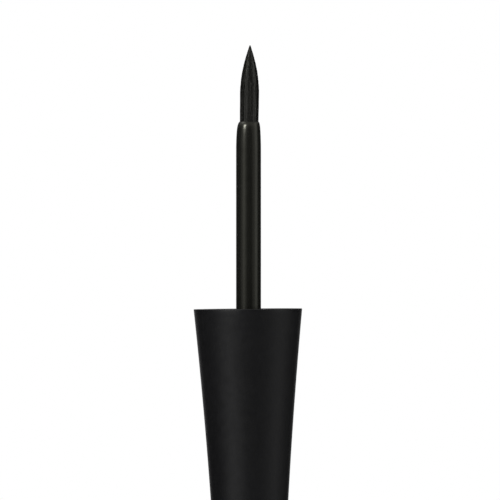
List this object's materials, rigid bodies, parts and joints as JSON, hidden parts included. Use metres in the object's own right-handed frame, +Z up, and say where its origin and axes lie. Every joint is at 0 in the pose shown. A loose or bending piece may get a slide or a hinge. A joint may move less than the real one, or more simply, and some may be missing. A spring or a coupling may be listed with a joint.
{
  "type": "liquid eyeliner bottle",
  "caption": "Liquid eyeliner: a small screw-necked bottle with a wiper, and its flared cap with a stem and a pointed fibre brush standing on its crown beside it.",
  "frame": {"origin": "centre of the bottle's flat base, on the surface it stands on", "axes": "+Z up along the bottle's axis, +X from the bottle towards the applicator, which stands on its crown with the brush up"},
  "size_m": [0.0649, 0.0178, 0.1068],
  "materials": {
    "sleeve_black": "satin moulded plastic",
    "cap_satin_black": "satin moulded plastic",
    "vial_black": "moulded plastic, half gloss",
    "stem_black": "smooth moulded plastic, half gloss",
    "tuft_black": "fine synthetic fibre",
    "wiper_natural": "natural soft plastic",
    "seal_foam": "closed-cell foam",
    "ball_steel": "polished ball"
  },
  "bodies": {
    "bottle": {"base_plug": "sleeve_black", "bottle_sleeve": "sleeve_black", "shoulder_collar": "sleeve_black", "vial": "vial_black", "wiper": "wiper_natural"},
    "ball": {"mixing_ball": "ball_steel"},
    "applicator": {"cap_shell": "cap_satin_black", "cap_insert": "vial_black", "neck_seal": "seal_foam", "stem": "stem_black", "brush_root": "tuft_black", "brush_tuft": "tuft_black"}
  },
  "joints": [
    {"name": "applicator_turn_over", "type": "hinge", "parent": "bottle", "child": "applicator", "pos_m": [0.024, 0, 0.08038], "axis": [0, -1, 0], "range_deg": [0, 180]},
    {"name": "mixing_ball_rattle", "type": "slide", "parent": "bottle", "child": "ball", "axis": [0, 0, 1], "range_m": [0, 0.033]}
  ]
}
